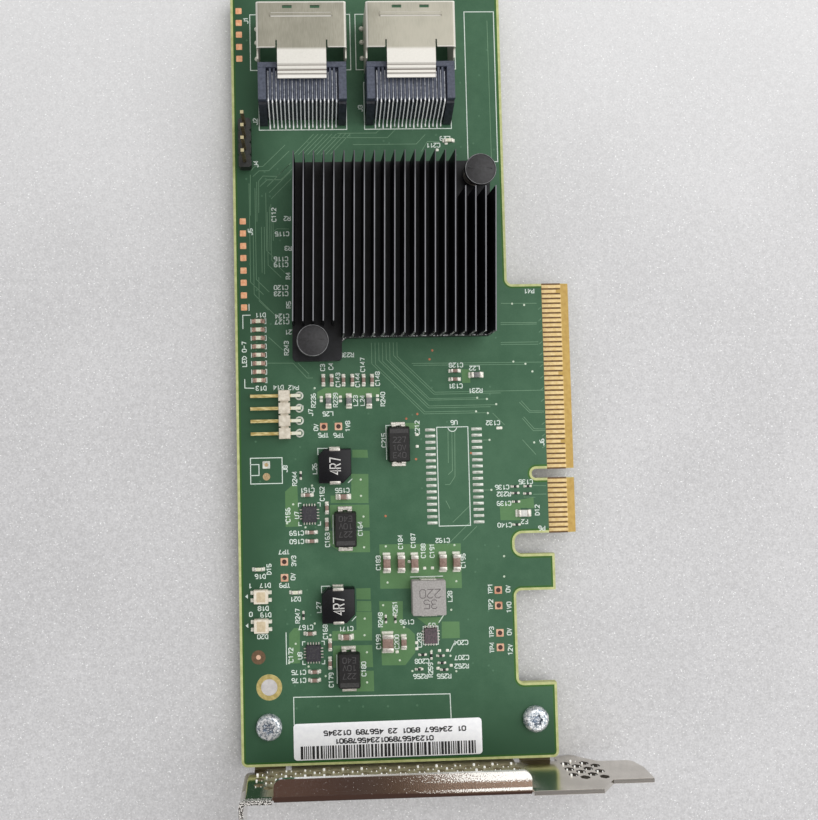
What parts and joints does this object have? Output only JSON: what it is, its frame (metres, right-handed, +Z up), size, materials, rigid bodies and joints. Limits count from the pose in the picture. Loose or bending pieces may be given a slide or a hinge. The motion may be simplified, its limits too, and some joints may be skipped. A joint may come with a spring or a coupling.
{
  "type": "host bus adapter",
  "caption": "Low-profile storage host bus adapter card with finned heat sink, two internal ports, gold edge connector and a vented metal bracket.",
  "frame": {"origin": "centre of the card's footprint on the surface that it lies on", "axes": "+X from the plain long edge to the contact edge, +Y from the bracket to the ports, +Z up from the component side"},
  "size_m": [0.0796, 0.1712, 0.0184],
  "materials": {
    "solder_mask": "green solder mask over glass epoxy",
    "gold": "gold plating",
    "tin": "bright tin",
    "epoxy": "moulded epoxy",
    "thermal_pad": "soft pad",
    "black_anodised": "black anodised",
    "spring_steel": "drawn wire",
    "dark_plastic": "moulded, slight sheen",
    "nickel": "matt nickel over steel",
    "bright_nickel": "bright nickel over steel",
    "housing_plastic": "moulded",
    "cream_plastic": "moulded",
    "led_resin": "clear over white",
    "tantalum_resin": "moulded",
    "ferrite_black": "moulded iron powder",
    "ferrite_grey": "pressed ferrite",
    "capacitor_brown": "fired ceramic",
    "resistor_black": "glazed film",
    "fuse_white": "fired ceramic",
    "label_white": "printed film"
  },
  "bodies": {
    "root": {"activity_leds": "led_resin", "angle_header_body": "cream_plastic", "angle_header_pins": "gold", "bracket_screws": "nickel", "bulk_ceramic_capacitor": "capacitor_brown", "chip_resistors": "resistor_black", "controller_chip": "epoxy", "edge_contacts_component_side": "gold", "edge_contacts_solder_side": "gold", "ferrite_beads": "ferrite_grey", "filter_inductor": "ferrite_grey", "fuse": "fuse_white", "heat_sink": "black_anodised", "hole_ring": "gold", "inductor_terminals": "tin", "label": "label_white", "large_ceramic_capacitors": "capacitor_brown", "medium_ceramic_capacitors": "capacitor_brown", "mounting_bracket": "bright_nickel", "port_cage_left": "nickel", "port_cage_right": "nickel", "port_contacts_left": "tin", "port_contacts_right": "tin", "port_housing_left": "housing_plastic", "port_housing_right": "housing_plastic", "port_led_terminals": "tin", "port_leds": "led_resin", "power_inductor_1": "ferrite_black", "power_inductor_2": "ferrite_black", "power_monitor": "epoxy", "printed_circuit_board": "solder_mask", "push_pin_far": "dark_plastic", "push_pin_near": "dark_plastic", "push_pin_spring_far": "spring_steel", "push_pin_spring_near": "spring_steel", "small_ceramic_capacitors": "capacitor_brown", "status_leds": "led_resin", "tantalum_capacitor_1": "tantalum_resin", "tantalum_capacitor_2": "tantalum_resin", "tantalum_capacitor_3": "tantalum_resin", "tantalum_terminals": "tin", "thermal_pad": "thermal_pad", "upright_header_body": "dark_plastic", "upright_header_pins": "gold", "voltage_regulator_1": "epoxy", "voltage_regulator_2": "epoxy"}
  },
  "joints": []
}
